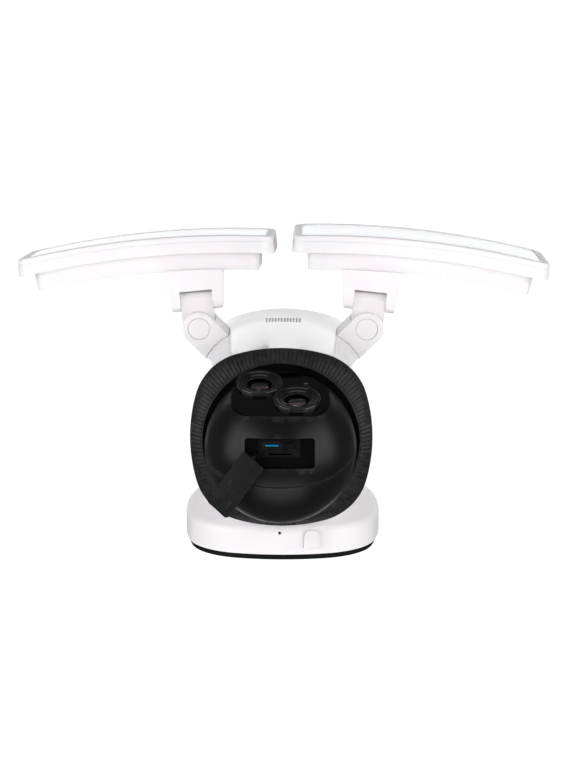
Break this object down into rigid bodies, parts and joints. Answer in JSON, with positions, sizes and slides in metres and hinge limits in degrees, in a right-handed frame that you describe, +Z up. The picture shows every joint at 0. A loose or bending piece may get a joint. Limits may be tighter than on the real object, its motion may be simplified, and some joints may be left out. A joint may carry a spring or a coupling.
{
  "type": "floodlight security camera",
  "caption": "Wall-mounted security camera: a ball with two lenses that pans and tilts under a barrel housing, with two adjustable bowed floodlight panels on hinged arms.",
  "frame": {"origin": "on the wall plane, at the middle of the base's back face, where the gasket meets the wall", "axes": "+Z up, +Y into the wall, so the camera and the lamps stand out towards -Y; +X along the two lamps"},
  "size_m": [0.2817, 0.1587, 0.2008],
  "materials": {
    "wall_gasket_rubber": "matte",
    "base_plastic": "satin white",
    "bracket_steel": "zinc plated",
    "screw_steel": "plated",
    "barrel_gloss": "gloss white",
    "ring_black": "fine ribbed matte",
    "inner_plastic": "moulded",
    "gear_plastic": "natural acetal",
    "motor_steel": "bright",
    "circuit_board": "solder mask",
    "speaker_black": "black",
    "antenna_brass": "thin sheet",
    "arm_plastic": "satin warm white",
    "lamp_plastic": "satin warm white",
    "diffuser": "milky diffuser",
    "led_aluminium": "white masked",
    "lamp_seal_rubber": "grey",
    "ball_charcoal": "satin charcoal",
    "window_black": "gloss black",
    "bezel_black": "gloss black",
    "lens_glass": "coated",
    "port_black": "matte black",
    "port_steel": "plated shell, blue tongue",
    "flap_rubber": "matte black"
  },
  "bodies": {
    "housing": {"wall_gasket": "wall_gasket_rubber", "base_back_ring": "base_plastic", "wall_bracket": "bracket_steel", "base_shell": "base_plastic", "screw_plug": "base_plastic", "lock_screw": "screw_steel", "base_screws": "screw_steel", "microphone": "motor_steel", "terminal_block": "inner_plastic", "body_shell": "barrel_gloss", "top_cap": "barrel_gloss", "ribbed_ring": "ring_black", "chassis_plate": "inner_plastic", "pan_bearing": "motor_steel", "pan_motor": "motor_steel", "main_board": "circuit_board", "power_board": "circuit_board", "speaker": "speaker_black", "siren": "speaker_black", "antenna": "antenna_brass", "arm_root_left": "arm_plastic", "arm_root_right": "arm_plastic", "arm_pin_left": "screw_steel", "arm_pin_right": "screw_steel"},
    "pan_head": {"pan_yoke": "inner_plastic", "pan_gear": "gear_plastic", "tilt_motor": "motor_steel"},
    "pan_pinion": {"pan_pinion": "gear_plastic"},
    "camera_ball": {"ball_front_shell": "ball_charcoal", "ball_rear_shell": "ball_charcoal", "lens_window": "window_black", "wide_bezel": "bezel_black", "tele_bezel": "bezel_black", "wide_lens": "lens_glass", "tele_lens": "lens_glass", "lens_barrels": "bezel_black", "sensor_board": "circuit_board", "port_panel": "port_black", "usb_port": "port_steel", "card_slot": "port_black", "tilt_trunnions": "screw_steel", "tilt_gear": "gear_plastic"},
    "tilt_pinion": {"tilt_pinion": "gear_plastic"},
    "sync_button": {"sync_button": "port_black"},
    "port_flap": {"port_flap": "flap_rubber"},
    "left_link": {"link_left": "arm_plastic"},
    "right_link": {"link_right": "arm_plastic"},
    "left_lamp": {"lamp_bezel_left": "lamp_plastic", "lamp_diffuser_left": "diffuser", "led_board_left": "led_aluminium", "lamp_housing_left": "lamp_plastic", "lamp_seal_left": "lamp_seal_rubber", "tilt_pin_left": "screw_steel"},
    "right_lamp": {"lamp_bezel_right": "lamp_plastic", "lamp_diffuser_right": "diffuser", "led_board_right": "led_aluminium", "lamp_housing_right": "lamp_plastic", "lamp_seal_right": "lamp_seal_rubber", "tilt_pin_right": "screw_steel"}
  },
  "joints": [
    {"name": "camera_pan", "type": "hinge", "parent": "housing", "child": "pan_head", "pos_m": [0, -0.0657, -0.03], "axis": [0, 0, 1], "range_deg": [-175, 175]},
    {"name": "pan_pinion_spin", "type": "hinge", "parent": "housing", "child": "pan_pinion", "pos_m": [0.024, -0.0657, -0.0235], "axis": [0, 0, 1], "range_deg": [-720, 720]},
    {"name": "camera_tilt", "type": "hinge", "parent": "pan_head", "child": "camera_ball", "pos_m": [0, -0.0657, -0.079], "axis": [1, 0, 0], "range_deg": [-5, 57]},
    {"name": "tilt_pinion_spin", "type": "hinge", "parent": "pan_head", "child": "tilt_pinion", "pos_m": [0.0218, -0.0657, -0.0665], "axis": [1, 0, 0], "range_deg": [-240, 60]},
    {"name": "port_flap_swivel", "type": "hinge", "parent": "camera_ball", "child": "port_flap", "pos_m": [-0.01501, -0.06809, -0.11437], "axis": [-0.3899, -0.0622, -0.9187], "range_deg": [0, 127]},
    {"name": "sync_button_press", "type": "slide", "parent": "camera_ball", "child": "sync_button", "axis": [0, 0.1461, 0.9893], "range_m": [0, 0.0006], "stiffness_N_per_m": 300},
    {"name": "left_arm_roll", "type": "hinge", "parent": "housing", "child": "left_link", "pos_m": [-0.0442, -0.1096, 0.015], "axis": [0, 0, 1], "range_deg": [-60, 2.5]},
    {"name": "left_lamp_tilt", "type": "hinge", "parent": "left_link", "child": "left_lamp", "pos_m": [-0.04551, -0.12299, 0.015], "axis": [0.9952, -0.0976, 0], "range_deg": [-20, 60]},
    {"name": "right_arm_roll", "type": "hinge", "parent": "housing", "child": "right_link", "pos_m": [0.0442, -0.1096, 0.015], "axis": [0, 0, 1], "range_deg": [-2.5, 60]},
    {"name": "right_lamp_tilt", "type": "hinge", "parent": "right_link", "child": "right_lamp", "pos_m": [0.0457, -0.12297, 0.015], "axis": [0.9938, 0.1115, 0], "range_deg": [-20, 60]}
  ],
  "couplings": [
    {"joint": "pan_pinion_spin", "follows": "camera_pan", "ratio": -4},
    {"joint": "tilt_pinion_spin", "follows": "camera_tilt", "ratio": -4}
  ]
}
